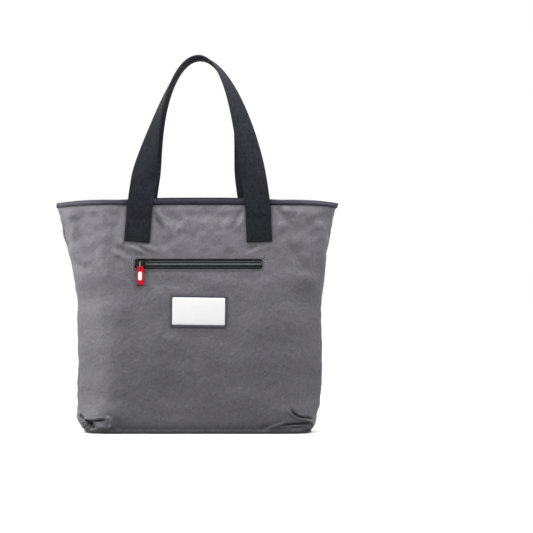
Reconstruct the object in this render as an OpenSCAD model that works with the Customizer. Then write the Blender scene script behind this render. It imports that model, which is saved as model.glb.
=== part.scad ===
// Open-topped fabric tote bag with a zipped front pocket, a stitched-on label and two
// webbing handles. Millimetres, +Z up, front towards -Y, origin at the middle of the
// face that it stands on.

/* [Bag body] */
// Width across the rim
rim_w = 427; // [404:1:440]
// Width across the lower part of the body
lower_w = 368; // [350:1:384]
// Height of the rim at the middle of the front and back
body_h = 352; // [336:1:380]
// Depth front to back just above the rounded bottom edge
base_d = 92; // [84:1:110]
// Depth front to back at the middle of the rim
rim_d = 56; // [50:1:80]
// Width of the flat middle of the front and back
flat_w = 232; // [226:1:250]
// Drop of the rim at its two corners
rim_drop = 9; // [0:0.5:14]
// Height above which the sides flare outwards
flare_z = 190; // [150:1:220]
// Height of the rounded bottom edge
edge_h = 25; // [16:1:36]
// Pull-in of each end at the bottom edge
end_tuck = 20; // [10:1:28]
// Pull-in of the front and back at the bottom edge
face_tuck = 7; // [3:0.5:10]

/* [Cloth] */
// Thickness of the outer cloth with its backing
panel_t = 1.2; // [0.8:0.1:2]
// Thickness of the lining
lining_t = 0.8; // [0.5:0.1:1.2]
// Thickness of the stiffening board under the lining
board_t = 2; // [1:0.25:3]
// Narrowing of the board all round, inside the base seam
board_inset = 3; // [1:0.5:8]
// Thickness of the tape that binds the rim
binding_t = 0.8; // [0.5:0.1:1.2]
// Height of the tape that binds the rim
binding_h = 8.5; // [7:0.5:10]
// Thickness of a sewing thread as it lies on the cloth
thread_t = 0.35; // [0.2:0.05:0.5]
// Width of a row of stitches
thread_w = 0.7; // [0.4:0.1:1]

/* [Handles] */
// Width of the handle webbing
webbing_w = 38; // [30:1:39]
// Thickness of the handle webbing
webbing_t = 2.2; // [1.6:0.1:3]
// Spacing of the front handle's two legs at the fold line
front_leg_gap = 178; // [160:1:184]
// Spacing of the back handle's two legs at the fold line
back_leg_gap = 174; // [160:1:184]
// Lean of each leg towards the middle, in degrees
leg_lean = 4.5; // [2:0.5:7]
// Distance of the fold line below the rim
fold_drop = 19; // [16:1:26]
// Length of each sewn end below the fold line
sewn_l = 46; // [36:1:50]
// Height of each loop above its fold line
loop_h = 232; // [180:1:260]
// Rise of the straight foot of each leg above the fold line
leg_foot = 30; // [20:1:60]
// Half width over which the top of the loop stays level
grip_half = 59; // [40:1:70]
// Distance between the two handles at their tops
grip_apart = 4; // [2:0.5:12]
// Share of the leg that stays flat before it turns edge-on
twist_start = 0.25; // [0.1:0.05:0.5]
// Inset of the box of stitches from the edges of a sewn end
stitch_inset = 3; // [2:0.5:6]

/* [Zip pocket] */
// Width of the window in the front
window_w = 191; // [170:1:196]
// Height of the window in the front
window_h = 15.2; // [14:0.2:20]
// Corner radius of the window
window_r = 1.5; // [0.5:0.5:4]
// Distance of the middle of the window below the rim
window_drop = 98.7; // [92:0.1:110]
// Distance of the row of stitches from the window
window_margin = 3.7; // [2.5:0.1:5]
// Corner radius of the row of stitches
stitch_r = 2.5; // [1:0.5:5]
// Distance of the middle of the zip above the middle of the window
zip_rise = 1.8; // [0:0.1:2.2]
// Width of each half of the zip tape
tape_w = 16; // [13:0.5:20]
// Thickness of the zip tape
tape_t = 0.6; // [0.4:0.1:1]
// Length of the zip tape hidden beyond each end of the window
tape_tail = 9; // [5:0.5:12]
// Width of each half of the coil
coil_w = 2.4; // [1.8:0.1:2.8]
// Thickness of the coil
coil_t = 1.9; // [1.4:0.1:2.2]
// Slit between the halves of the coil, in which the slider's post runs
coil_slit = 1.2; // [1:0.1:1.6]
// Length of each stop at the ends of the coil
stop_l = 2; // [1:0.25:3]
// Depth of the pocket below the window
pocket_h = 150; // [100:1:165]
// Width of the pocket
pocket_w = 212; // [208:1:222]
// Thickness of the pocket cloth
pocket_t = 0.5; // [0.3:0.1:0.8]
// Width of the seams that close the pocket
pocket_seam = 5; // [3:0.5:8]

/* [Slider and puller] */
// Length of the slider along the zip
slider_l = 14.4; // [12:0.2:17]
// Height of the slider across the zip
slider_w = 10.4; // [9.6:0.2:12]
// Thickness of each plate of the slider
plate_t = 1.4; // [1:0.1:1.8]
// Thickness of the flanges beside the coil
flange_t = 1.6; // [1:0.1:2]
// Length of the post between the plates
post_l = 4; // [2:0.5:6]
// Diameter of the bar that the link hangs on
bar_d = 1.4; // [1:0.1:1.8]
// Length of the bar between its two feet
bar_l = 7; // [5:0.2:8]
// Diameter of the link's wire
wire_d = 1.1; // [0.8:0.1:1.4]
// Length of the link between the middles of its two rounded ends
link_l = 5.2; // [3:0.2:6]
// Length of the pull tab
tab_l = 29.5; // [20:0.5:40]
// Width of the pull tab
tab_w = 9.4; // [7:0.2:14]
// Thickness of the pull tab
tab_t = 1.6; // [1.2:0.1:1.7]
// Corner radius of the pull tab
tab_r = 1.4; // [0.5:0.1:3]
// Width of the slot that the link passes through
slot_w = 2.6; // [2.2:0.1:4]
// Length of the oval inlay in the pull tab
inlay_l = 13; // [8:0.5:16]
// Width of the oval inlay in the pull tab
inlay_w = 5.6; // [4:0.2:6.4]
// Depth of the recess for the oval inlay
inlay_t = 0.5; // [0.3:0.1:0.8]
// Distance of the oval inlay's middle above the tab's lower end
inlay_up = 14.5; // [10:0.5:20]

/* [Label] */
// Width of the label
label_w = 84; // [60:1:100]
// Height of the label
label_h = 48; // [30:1:60]
// Thickness of the label's backing
label_t = 1.6; // [1:0.1:2.4]
// Thickness left under the recess for the insert
recess_z = 0.6; // [0.4:0.1:0.9]
// Border of the backing at the left and right of the insert
label_side = 2.6; // [1.5:0.1:6]
// Border of the backing above and below the insert
label_edge = 3.5; // [1.5:0.1:6]
// Corner radius of the label
label_r = 1.6; // [0.5:0.1:5]
// Thickness of the insert, which sits in a recess of the backing
insert_t = 1.1; // [0.6:0.1:1.4]
// Distance of the middle of the label below the rim
label_drop = 169; // [155:1:200]
// Turn of the label on the cloth, in degrees
label_turn = -0.8; // [-2:0.1:2]

/* [Clearances] */
// Air between curved layers of cloth
cloth_gap = 0.3; // [0.2:0.05:0.5]
// Air between flat faces that are sewn or glued together
seat_gap = 0.02; // [0.01:0.01:0.05]
// Running clearance between the slider and the zip
run_gap = 0.3; // [0.2:0.05:0.4]
// Distance between the slider and the end of the window at rest
end_gap = 0.8; // [0.5:0.1:2]
// Play of the link round the bar that it hangs on
link_play = 0.45; // [0.4:0.05:0.8]
// Air between the link and the parts that it passes
link_air = 0.25; // [0.2:0.05:0.5]

/* [Hidden] */

// Shape of the body: roundness of its corners seen from above, at the base and the rim
base_power = 3;
rim_power = 1.7;
// Growth of the flare with height, and of the rim's drop with distance from the middle
flare_power = 1.4;
drop_power = 2.6;
// Turn of a corner from one column to the next, and columns in each half of the flat middle
corner_step = 15;
flat_columns = 3;
// Rings along each leg of a handle, and growth of its twist
leg_rings = 18;
twist_power = 3;
// Finish of round edges
$fn = 48;

// Heights measured from the rim
fold_z = body_h - fold_drop;
window_z = body_h - window_drop;
zip_z = window_z + zip_rise;
label_z = body_h - label_drop;
// Lean of the flat middle of the front, in degrees
face_tilt = atan((base_d - rim_d) / 2 / (body_h - edge_h));

// Layers behind the front, as distances behind its outer face
tape_face = panel_t + seat_gap;
tape_back = tape_face + tape_t;
plate_face = tape_back + run_gap;
plate_back = plate_face + plate_t;
pocket_face = plate_back + run_gap;
pocket_back = pocket_face + pocket_t;
// Room between the outer cloth and the lining, in which the pocket hangs
pocket_room = pocket_back - panel_t;
// Stack of cloth at the rim
rim_stack = panel_t + cloth_gap + lining_t;
// Rim cloth stops below the tape that is folded over it
cloth_top = body_h - binding_t - cloth_gap;
// The lining follows the outer cloth closely above tuck_top and stands off by the full
// room below tuck_low
tuck_drop = 34;
tuck_top = body_h - tuck_drop;
tuck_low = zip_z + tape_w + run_gap;
// Levels of the stack in the base
board_z = panel_t;
base_lining_z = board_z + board_t;
lining_z = base_lining_z + lining_t;

// Coil and slider, as heights in front of the front's outer face
coil_face = coil_t - tape_face;
slider_face = coil_face + run_gap;
slider_top = slider_face + plate_t;
link_r = bar_d / 2 + wire_d / 2 + link_play;
bar_face = slider_top + link_r + wire_d / 2 + link_air;
// Places along the window, and the radius that rounds the slider's ends
slider_x = -window_w / 2 + end_gap + slider_l / 2;
slider_r = 0.53 * slider_l;
coil_l = window_w - 2 * seat_gap;
// Seam of each pocket cloth on the zip tape, as a height above the middle of the zip
pocket_top = -(slider_w / 2 + tape_w) / 2;
// Bar of the tab that the link encloses, and the slot beside it
web_h = 1.2;
slot_h = link_r + wire_d / 2 + link_air;
// Size of the label's insert
insert_w = label_w - 2 * label_side;
insert_h = label_h - 2 * label_edge;

// Handles: the loop runs in front of the rim tape, and folds about its own outer face
loop_face = cloth_gap + binding_t + cloth_gap;
fold_y = half_d(fold_z) + loop_face + webbing_t;
grip_y = (grip_apart + webbing_w) / 2;

function lerp(a, b, t) = a + (b - a) * t;
function clamp(v, low, high) = min(max(v, low), high);

// Half width and half depth of the body at a height
function edge_turn(z) = z < edge_h ? 1 - sqrt(max(0, 1 - pow(1 - z / edge_h, 2))) : 0;
function half_w(z) =
    lerp(lower_w, rim_w, pow(clamp((z - flare_z) / (body_h - flare_z), 0, 1), flare_power)) / 2
    - end_tuck * edge_turn(z);
function half_d(z) =
    lerp(base_d, rim_d, clamp((z - edge_h) / (body_h - edge_h), 0, 1)) / 2
    - face_tuck * edge_turn(z);
function power_at(z) = 2 / lerp(base_power, rim_power, clamp(z / body_h, 0, 1));

// A column u runs from -1 at the left seam to 1 at the right seam; it is flat between
// -0.5 and 0.5, and turns the corner beyond
function turn_of(u) = 180 * max(0, abs(u) - 0.5);
function column_x(u, z, off) =
    abs(u) <= 0.5 ? flat_w * u
    : sign(u) * (flat_w / 2 + (half_w(z) - off - flat_w / 2) * pow(sin(turn_of(u)), power_at(z)));
function column_y(u, z, off) =
    abs(u) == 1 ? 0 : -(half_d(z) - off) * pow(cos(turn_of(u)), power_at(z));
function drop_at(u) = rim_drop * pow(abs(column_x(u, body_h, 0)) / (rim_w / 2), drop_power);
// Point of the body's front, inset by off, on a row that would be at height row in the middle
function body_point(u, row, off) =
    let (z = row - drop_at(u) * max(0, row - edge_h) / (body_h - edge_h))
    [column_x(u, z, off), column_y(u, z, off), z];

COLUMNS = concat(
    [for (a = [90 : -corner_step : corner_step]) -0.5 - a / 180],
    [for (i = [-flat_columns : flat_columns]) i / flat_columns / 2],
    [for (a = [corner_step : corner_step : 90]) 0.5 + a / 180]);

// Rows of a cloth grid from a lower to an upper height
function rows(low, high) =
    let (spans = [[edge_h, flare_z, 3], [flare_z, tuck_low, 3], [tuck_low, tuck_top, 2],
                  [tuck_top, high, 2]])
    concat(
        [low],
        [for (a = [30 : 30 : 90]) let (z = edge_h * (1 - cos(a))) if (z > low + 1) z],
        [for (s = spans, i = [1 : s[2]]) lerp(s[0], s[1], i / s[2])]);

// Distance of the lining's face from the outer face of the body
function lining_off(z) =
    panel_t + cloth_gap + pocket_room * clamp((tuck_top - z) / (tuck_top - tuck_low), 0, 1);

// Upright ring of one column: up the outer side and down the inner side
function cloth_ring(u, levels, near, far) = concat(
    [for (z = levels) body_point(u, z, near(z))],
    [for (i = [len(levels) - 1 : -1 : 0]) body_point(u, levels[i], far(levels[i]))]);

// Solid through a list of rings with equal numbers of points. The first half of each ring
// faces its second half, with its squares split along the same diagonals, and strips
// between the two halves close both ends
module sweep(rings) {
    n = len(rings[0]);
    last = len(rings) - 1;
    sides = [for (i = [0 : last - 1], j = [0 : n - 1])
        let (k = (j + 1) % n, a = i * n + j, b = i * n + k, c = a + n, d = b + n)
        each j < n / 2 ? [[a, b, d], [a, d, c]] : [[a, b, c], [b, d, c]]];
    strips = [for (j = [0 : n / 2 - 2]) [j, j + 1, n - 2 - j, n - 1 - j]];
    caps = concat(
        [for (strip = strips) [for (j = [3 : -1 : 0]) strip[j]]],
        [for (strip = strips) [for (k = strip) last * n + k]]);
    polyhedron(points = [for (ring = rings) each ring], faces = concat(sides, caps));
}

// Front half of a cloth layer, between two functions that give its distances behind the
// body's outer face
module cloth_half(levels, near, far)
    sweep([for (u = COLUMNS) cloth_ring(u, levels, near, far)]);

// Outline of the body at a height, inset by off
function outline(z, off) =
    let (front = [for (u = COLUMNS) [column_x(u, z, off), column_y(u, z, off)]],
         last = len(front) - 1)
    concat(front, [for (i = [last - 1 : -1 : 1]) [front[i][0], -front[i][1]]]);

module cloth_plate(z, thickness, off)
    translate([0, 0, z]) linear_extrude(thickness) polygon(outline(z, off));

// Places its children on the flat middle of the front, at a height: X across, Y up along
// the cloth and Z straight out of it
module on_front(h) translate([0, -half_d(h), h]) rotate([90 - face_tilt, 0, 0]) children();

module behind(half) rotate([0, 0, half == "back" ? 180 : 0]) children();

module rounded_rect(w, h, r) {
    square([w - 2 * r, h], center = true);
    square([w, h - 2 * r], center = true);
    for (x = [-1, 1], y = [-1, 1]) translate([x * (w / 2 - r), y * (h / 2 - r)]) circle(r);
}

// ---- body

module front_panel() color("#7b797f") difference() {
    cloth_half(rows(0, cloth_top), function(z) 0, function(z) panel_t);
    on_front(window_z) translate([0, 0, -2 * panel_t])
        linear_extrude(4 * panel_t) rounded_rect(window_w, window_h, window_r);
}

module back_panel() color("#757379")
    behind("back") cloth_half(rows(0, cloth_top), function(z) 0, function(z) panel_t);

module base_panel() color("#6d6b71") cloth_plate(0, panel_t, panel_t + cloth_gap);

module base_board() color("#c9c4b8")
    cloth_plate(board_z, board_t, panel_t + cloth_gap + board_inset);

module lining(half) behind(half)
    cloth_half(rows(lining_z, cloth_top), function(z) lining_off(z),
        function(z) lining_off(z) + lining_t);

module front_lining() color("#3b3c42") lining("front");
module back_lining() color("#3b3c42") lining("back");
module base_lining() color("#3b3c42")
    cloth_plate(base_lining_z, lining_t, lining_off(base_lining_z));

// Tape folded over the rim: down the outside, over the top and down the inside
function binding_ring(u) =
    let (low = body_h - binding_h,
         outer = -cloth_gap - binding_t,
         inner = rim_stack + cloth_gap + binding_t)
    [body_point(u, low, outer), body_point(u, body_h, outer),
     body_point(u, body_h, inner), body_point(u, low, inner),
     body_point(u, low, inner - binding_t), body_point(u, body_h - binding_t, inner - binding_t),
     body_point(u, body_h - binding_t, -cloth_gap), body_point(u, low, -cloth_gap)];

module rim_binding(half) behind(half) sweep([for (u = COLUMNS) binding_ring(u)]);

module front_rim_binding() color("#48464f") rim_binding("front");
module back_rim_binding() color("#48464f") rim_binding("back");

// ---- handles

// Middle line of the left leg, from the fold line at t = 0 to the top of the loop at t = 1
function bezier(p, t) =
    pow(1 - t, 3) * p[0] + 3 * pow(1 - t, 2) * t * p[1] + 3 * (1 - t) * t * t * p[2] + t * t * t * p[3];
function leg_guide(leg_gap) =
    let (foot_x = -leg_gap / 2, foot_y = webbing_t / 2 - fold_y, top_z = fold_z + loop_h)
    [[foot_x, foot_y, fold_z + run_gap],
     [foot_x + leg_foot * tan(leg_lean), foot_y, fold_z + run_gap + leg_foot],
     [-grip_half, -grip_y, top_z],
     [0, -grip_y, top_z]];
function leg_heading(p, t) =
    let (d = pow(1 - t, 2) * (p[1] - p[0]) + 2 * (1 - t) * t * (p[2] - p[1]) + t * t * (p[3] - p[2]))
    d / norm([d[0], d[2]]);
// Turn of the webbing from flat at the foot to edge-on at the top
function leg_twist(t) =
    90 * (1 - pow(1 - clamp((t - twist_start) / (1 - twist_start), 0, 1), twist_power));
// Four corners of the webbing's section
function webbing_ring(p, t) =
    let (d = leg_heading(p, t),
         twist = leg_twist(t),
         across = [d[2] * cos(twist), -sin(twist), -d[0] * cos(twist)],
         out = cross([d[0], 0, d[2]], across))
    [for (s = [[-1, -1], [-1, 1], [1, 1], [1, -1]])
        bezier(p, t) + across * s[0] * webbing_w / 2 + out * s[1] * webbing_t / 2];
function mirror_ring(ring) = [for (q = ring) [-q[0], q[1], q[2]]];

module handle_loop(half, leg_gap) behind(half) {
    guide = leg_guide(leg_gap);
    left = [for (i = [0 : leg_rings]) webbing_ring(guide, i / leg_rings)];
    right = [for (i = [leg_rings - 1 : -1 : 0]) mirror_ring(left[i])];
    sweep(concat(left, right));
}

// Sewn end of a handle: side is -1 for the left leg and 1 for the right leg
module at_sewn_end(half, leg_gap, side) behind(half) on_front(fold_z)
    translate([side * leg_gap / 2, 0, seat_gap]) rotate([0, 0, side * leg_lean]) children();

module sewn_end(half, leg_gap, side) at_sewn_end(half, leg_gap, side)
    translate([-webbing_w / 2, -sewn_l, 0]) cube([webbing_w, sewn_l, webbing_t]);

module front_handle_loop() color("#2d2e33") handle_loop("front", front_leg_gap);
module front_handle_left_end() color("#2d2e33") sewn_end("front", front_leg_gap, -1);
module front_handle_right_end() color("#2d2e33") sewn_end("front", front_leg_gap, 1);
module back_handle_loop() color("#2d2e33") handle_loop("back", back_leg_gap);
module back_handle_left_end() color("#2d2e33") sewn_end("back", back_leg_gap, 1);
module back_handle_right_end() color("#2d2e33") sewn_end("back", back_leg_gap, -1);

// Closed row of stitches round a box
module stitch_frame(w, h, r) linear_extrude(thread_t) difference() {
    rounded_rect(w + thread_w, h + thread_w, r + thread_w / 2);
    rounded_rect(w - thread_w, h - thread_w, r - thread_w / 2);
}

module handle_stitching() color("#26272b")
    for (row = [["front", front_leg_gap], ["back", back_leg_gap]], side = [-1, 1])
        at_sewn_end(row[0], row[1], side)
            translate([0, -sewn_l / 2, webbing_t + seat_gap])
                stitch_frame(webbing_w - 2 * stitch_inset, sewn_l - 2 * stitch_inset, thread_w);

// ---- zip pocket

// Box between two distances behind the front's outer face
module layer(w, low, high, near, far)
    translate([-w / 2, low, -far]) cube([w, high - low, far - near]);

module zip_tape(side) on_front(zip_z) mirror([0, side < 0 ? 1 : 0, 0])
    layer(window_w + 2 * tape_tail, coil_slit / 2, tape_w, tape_face, tape_back);

module zip_coil(side) on_front(zip_z) mirror([0, side < 0 ? 1 : 0, 0])
    layer(coil_l - 2 * (stop_l + 2 * seat_gap), coil_slit / 2, coil_slit / 2 + coil_w,
        -coil_face, tape_face - seat_gap);

module zip_upper_tape() color("#2b2d31") zip_tape(1);
module zip_lower_tape() color("#2b2d31") zip_tape(-1);
module zip_upper_coil() color("#3a3c41") zip_coil(1);
module zip_lower_coil() color("#3a3c41") zip_coil(-1);

// Stops at the closed end, one on each half of the coil
module zip_top_stops() color("#222326") on_front(zip_z)
    for (side = [0, 1]) mirror([0, side, 0]) translate([(stop_l - coil_l) / 2, 0, 0])
        layer(stop_l, coil_slit / 2, coil_slit / 2 + coil_w, -coil_face, tape_face - seat_gap);

// Stop at the open end, across both halves
module zip_bottom_stop() color("#222326") on_front(zip_z)
    translate([(coil_l - stop_l) / 2, 0, 0])
        layer(stop_l, -coil_slit / 2 - coil_w, coil_slit / 2 + coil_w, -coil_face, tape_face - seat_gap);

// Inner cloth of the pocket, sewn to the back of the lower tape, with seams that close
// its sides and foot
module pocket_bag_front() color("#46474e") on_front(zip_z) {
    near = tape_back + seat_gap;
    layer(pocket_w, -pocket_h, pocket_top, near, near + pocket_t);
    layer(pocket_w, -pocket_h, pocket_seam - pocket_h, near, pocket_face - seat_gap);
    for (side = [-1, 1]) translate([side * (pocket_w - pocket_seam) / 2, 0, 0])
        layer(pocket_seam, -pocket_h, pocket_top, near, pocket_face - seat_gap);
}

// Outer cloth of the pocket, which passes behind the slider and turns forward to the
// back of the upper tape
module pocket_bag_back() color("#46474e") on_front(zip_z) {
    layer(pocket_w, -pocket_h, tape_w, pocket_face, pocket_back);
    layer(pocket_w, -pocket_top, tape_w, tape_back + seat_gap, pocket_back);
}

module window_stitching() color("#5b5960") on_front(window_z) translate([0, 0, seat_gap])
    stitch_frame(window_w + 2 * window_margin, window_h + 2 * window_margin, stitch_r);

// ---- slider and puller

module slider_plate() linear_extrude(plate_t) intersection() {
    square([slider_l, slider_w], center = true);
    circle(slider_r);
}

// Two plates joined by a post that runs in the slit of the coil, with flanges that hold
// the coil from both sides
module slider_body() color("#17181a") on_front(zip_z) translate([slider_x, 0, 0]) {
    translate([0, 0, slider_face]) slider_plate();
    translate([0, 0, -plate_back]) slider_plate();
    layer(post_l, run_gap - coil_slit / 2, coil_slit / 2 - run_gap, -slider_top, plate_back);
    for (side = [0, 1]) mirror([0, side, 0])
        layer(slider_l - 2 * flange_t, slider_w / 2 - flange_t, slider_w / 2, -slider_top,
            tape_face - run_gap);
}

// Bar along the zip on two feet
module slider_bridge() color("#202124") on_front(zip_z) translate([slider_x, 0, 0]) {
    translate([-bar_l / 2, 0, bar_face]) rotate([0, 90, 0]) cylinder(h = bar_l, d = bar_d);
    for (side = [-1, 1]) translate([side * bar_l / 2, 0, 0]) {
        translate([0, 0, slider_top + seat_gap])
            cylinder(h = bar_face - slider_top - seat_gap, d = bar_d);
        translate([0, 0, bar_face]) sphere(d = bar_d);
    }
}

// Wire link in the plane across the bar, long way down
module link_bend() rotate_extrude(angle = 180) translate([link_r, 0]) circle(d = wire_d);
module pull_link() color("#b9bbbf") on_front(zip_z) translate([slider_x, 0, bar_face])
    rotate([0, 90, 0]) {
        link_bend();
        translate([0, -link_l, 0]) rotate([0, 0, 180]) link_bend();
        for (side = [-1, 1]) translate([side * link_r, -link_l, 0]) rotate([-90, 0, 0])
            cylinder(h = link_l, d = wire_d);
    }

// Places its children at the bar of the tab that hangs in the link
module at_tab() on_front(zip_z) translate([slider_x, -link_l, bar_face]) children();

module pull_tab() color("#c8102e") at_tab() difference() {
    translate([0, web_h / 2 - tab_l / 2, -tab_t / 2]) linear_extrude(tab_t)
        rounded_rect(tab_w, tab_l, tab_r);
    translate([-slot_w / 2, -web_h / 2 - slot_h, -tab_t]) cube([slot_w, slot_h, 2 * tab_t]);
    inlay_place() linear_extrude(tab_t) oval(inlay_w, inlay_l);
}

module inlay_place() translate([0, web_h / 2 - tab_l + inlay_up, tab_t / 2 - inlay_t]) children();

module oval(w, l) {
    square([w, l - w], center = true);
    for (side = [-1, 1]) translate([0, side * (l - w) / 2]) circle(d = w);
}

module pull_tab_inlay() color("#f2f2f0") at_tab() inlay_place()
    translate([0, 0, seat_gap]) linear_extrude(inlay_t)
        oval(inlay_w - 2 * seat_gap, inlay_l - 2 * seat_gap);

// ---- label

module at_label() on_front(label_z) translate([0, 0, seat_gap]) rotate([0, 0, label_turn]) children();

module label_backing() color("#2a2a3e") at_label() difference() {
    linear_extrude(label_t) rounded_rect(label_w, label_h, label_r);
    translate([0, 0, recess_z]) linear_extrude(label_t) rounded_rect(insert_w, insert_h, label_r);
}

module label_insert() color("#fafafa") at_label() translate([0, 0, recess_z + seat_gap])
    linear_extrude(insert_t) rounded_rect(insert_w - 2 * seat_gap, insert_h - 2 * seat_gap, label_r);

front_panel();
back_panel();
base_panel();
base_board();
front_lining();
back_lining();
base_lining();
front_rim_binding();
back_rim_binding();
front_handle_loop();
front_handle_left_end();
front_handle_right_end();
back_handle_loop();
back_handle_left_end();
back_handle_right_end();
handle_stitching();
zip_upper_tape();
zip_lower_tape();
zip_upper_coil();
zip_lower_coil();
zip_top_stops();
zip_bottom_stop();
slider_body();
slider_bridge();
pull_link();
pull_tab();
pull_tab_inlay();
pocket_bag_front();
pocket_bag_back();
window_stitching();
label_backing();
label_insert();
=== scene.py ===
"""Fabric tote bag: cloth, webbing, zip and label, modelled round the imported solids.

Metres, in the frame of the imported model: +Z up, front towards -Y, standing on z = 0."""

from math import atan, cos, hypot, pi, radians, sin, sqrt, tan

import bmesh
import bpy
import numpy as np
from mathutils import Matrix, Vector


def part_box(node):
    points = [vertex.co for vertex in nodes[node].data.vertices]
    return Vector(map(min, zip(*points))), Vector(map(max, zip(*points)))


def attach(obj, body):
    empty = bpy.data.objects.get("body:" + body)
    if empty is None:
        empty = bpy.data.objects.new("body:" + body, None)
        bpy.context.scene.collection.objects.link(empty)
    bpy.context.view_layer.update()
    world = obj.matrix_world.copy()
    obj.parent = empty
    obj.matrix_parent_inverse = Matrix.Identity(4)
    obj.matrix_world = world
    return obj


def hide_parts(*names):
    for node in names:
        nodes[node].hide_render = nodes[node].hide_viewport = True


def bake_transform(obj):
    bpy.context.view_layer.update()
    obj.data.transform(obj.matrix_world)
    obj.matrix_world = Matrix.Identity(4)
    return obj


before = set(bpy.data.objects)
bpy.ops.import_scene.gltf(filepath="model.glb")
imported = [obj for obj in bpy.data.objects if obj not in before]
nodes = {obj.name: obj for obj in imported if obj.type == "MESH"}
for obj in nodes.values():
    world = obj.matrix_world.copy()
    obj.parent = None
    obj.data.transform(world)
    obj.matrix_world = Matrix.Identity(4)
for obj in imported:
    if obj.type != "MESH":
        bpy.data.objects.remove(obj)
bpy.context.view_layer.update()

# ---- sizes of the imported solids

RIM_W, LOWER_W, BODY_H = 0.427, 0.368, 0.352
BASE_D, RIM_D, FLAT_W = 0.092, 0.056, 0.232
RIM_DROP, FLARE_Z, EDGE_H = 0.009, 0.190, 0.025
END_TUCK, FACE_TUCK = 0.020, 0.007
BASE_POWER, RIM_POWER, FLARE_POWER, DROP_POWER = 3, 1.7, 1.4, 2.6
PANEL_T, LINING_T, BOARD_T, CLOTH_GAP, SEAT_GAP = 0.0012, 0.0008, 0.002, 0.0003, 0.00002
BINDING_T, BINDING_H, RIM_STITCH_UP = 0.0008, 0.0077, 0.0015
POCKET_ROOM = 0.00522
TUCK_TOP, TUCK_LOW = 0.318, 0.2714
# below the window the cloth falls back towards the side seams: where that starts and how
# deep it gets, as shares of the half width and half depth, and its growth
FALL_START, FALL_DEPTH, FALL_POWER, SEAM_POWER = 0.30, 0.78, 2.4, 24
# it sets in between two heights above the base, and ends between two below the window
ROUND_LOW, ROUND_HIGH = (0.004, 0.060), (0.243, 0.195)
# sag of the rim's front and rise of its back between the handles, and lift of its ends; then
# where each starts and is full across, and the height that it starts from
RIM_SAG, RIM_RISE, RIM_LIFT = 0.0015, 0.0032, 0.0031
SAG_ACROSS, SAG_FROM, LIFT_ACROSS, LIFT_FROM = (0.17, 0.06), 0.30, (0.085, 0.190), 0.27

WEBBING_W, WEBBING_T = 0.038, 0.0022
LEG_GAP = {"front": 0.178, "back": 0.174}
LEG_LEAN, LEG_FOOT, LOOP_H = radians(4.5), 0.030, 0.232
FOLD_Z, SEWN_L = BODY_H - 0.019, 0.046
GRIP_HALF, GRIP_APART, TWIST_START, TWIST_POWER = 0.059, 0.004, 0.25, 3
# rings along a sewn end and along the free leg
SEWN_RINGS, LEG_RINGS = 40, 130
# boxes of stitches: how far inside the webbing's sides and the sewn end's two ends, how far
# below its middle, and how far above the box's foot the second row is
BOX_INSIDE, BOX_SHORT, BOX_DOWN, ROW_UP = 0.003, 0.005, 0.0015, 0.004
# legs that differ from the rest: lean of the sewn end, how far in it and the loop sit, and the
# share of TWIST_POWER. The side is -1 for the left leg, as seen from in front of that half
LEANS = {("front", 1): radians(2.2)}
SHIFTS = {("back", -1): (0.005, 0.004)}
TWISTS = {("front", 1): 0.50}

WINDOW_W, WINDOW_H, WINDOW_R, WINDOW_Z = 0.191, 0.0152, 0.0046, 0.2533
WELT_W, STITCH_OUT = 0.0032, 0.0037
TAPE_W, TAPE_T, TAPE_OUT = 0.016, 0.0006, -0.00122
COIL_W, COIL_T, COIL_SLIT = 0.0024, 0.0019, 0.0012
# how far the tapes go past the window's ends, and how far inside them the teeth stop
TAPE_PAST, TEETH_SHORT = 0.009, 0.0022
LABEL_W, LABEL_H, LABEL_T, LABEL_Z, LABEL_TURN = 0.084, 0.048, 0.0016, 0.183, radians(-0.8)
LABEL_SIDE, LABEL_EDGE = 0.0026, 0.0035
ZIP_Z = WINDOW_Z + 0.0018
POCKET_W, POCKET_H = 0.212, 0.150
# how far inside the body the pocket's front cloth hangs and how far under the zip it starts,
# then how far inside the back one hangs, and the same at its top
POCKET_FRONT_IN, POCKET_FRONT_DROP, POCKET_BACK_IN, POCKET_TOP_IN = 0.0020, 0.0106, 0.0039, 0.0019

MM = 0.001
HALVES = ("front", "back")

# thickness of the drawn sheets, a little less than that of their solids
CLOTH_SKIN, LINING_SKIN, BASE_SKIN, POCKET_SKIN = 0.0009, 0.0006, 0.0007, 0.0004
# steps between the points of a sheet, along the flat middle and round the corners
CLOTH_STEPS, LINING_STEPS = (0.0026, 0.0012), (0.004, 0.003)
BASE_STEPS, RIM_STEPS = (0.004, 0.004), (0.002, 0.002)
# height from which the rows follow the rim's drop, and the lowest that the cloth may reach
DROP_FROM, GROUND = 0.275, 0.0002
# spacing of the stitches on the rim, the handles and the window, and of the coil's teeth
RIM_PITCH, HANDLE_PITCH, WINDOW_PITCH, TOOTH_PITCH = 0.0034, 0.0031, 0.0038, 0.00125


# ---- shape of the body

def lerp(a, b, t):
    return a + (b - a) * t


def smooth(low, high, x):
    t = np.clip((x - low) / (high - low), 0, 1)
    return t * t * (3 - 2 * t)


def edge_turn(z):
    low = np.clip(1 - z / EDGE_H, 0, 1)
    return 1 - np.sqrt(1 - low**2)


def half_w(z):
    flare = np.clip((z - FLARE_Z) / (BODY_H - FLARE_Z), 0, 1) ** FLARE_POWER
    return lerp(LOWER_W, RIM_W, flare) / 2 - END_TUCK * edge_turn(z)


def half_d(z):
    rise = np.clip((z - EDGE_H) / (BODY_H - EDGE_H), 0, 1)
    return lerp(BASE_D, RIM_D, rise) / 2 - FACE_TUCK * edge_turn(z)


TILT = atan((BASE_D - RIM_D) / 2 / (BODY_H - EDGE_H))


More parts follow.
